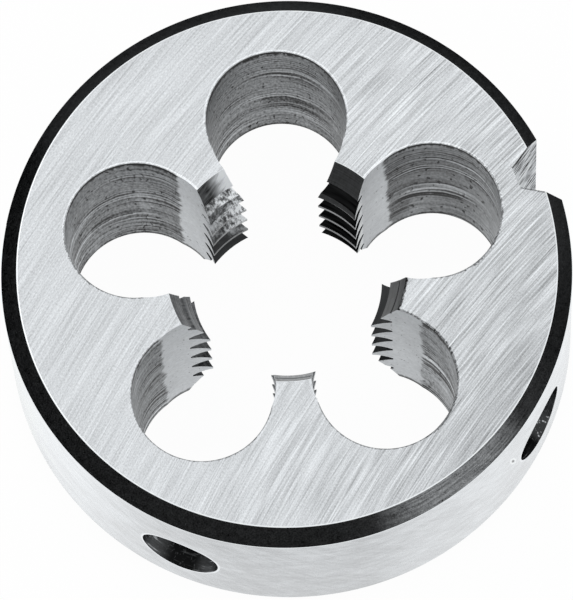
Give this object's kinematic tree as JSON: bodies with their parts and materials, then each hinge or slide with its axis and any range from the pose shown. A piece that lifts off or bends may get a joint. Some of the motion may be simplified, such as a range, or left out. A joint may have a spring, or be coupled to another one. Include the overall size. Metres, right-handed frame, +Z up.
{
  "type": "round threading die",
  "caption": "Round die for cutting external screw threads: a thick steel disc with a central thread parted by chip flutes, a V notch and conical screw recesses in its rim.",
  "frame": {"origin": "centre of the lower face, on the thread axis", "axes": "+Z up along the thread axis; +Y through one chip flute; the adjusting notch is 18 degrees from +X towards +Y"},
  "size_m": [0.045, 0.045, 0.018],
  "materials": {
    "tool_steel": "ground faces and rim, black oxide bevels and recesses, drilled flute walls"
  },
  "bodies": {
    "root": {"threading_die": "tool_steel"}
  },
  "joints": []
}
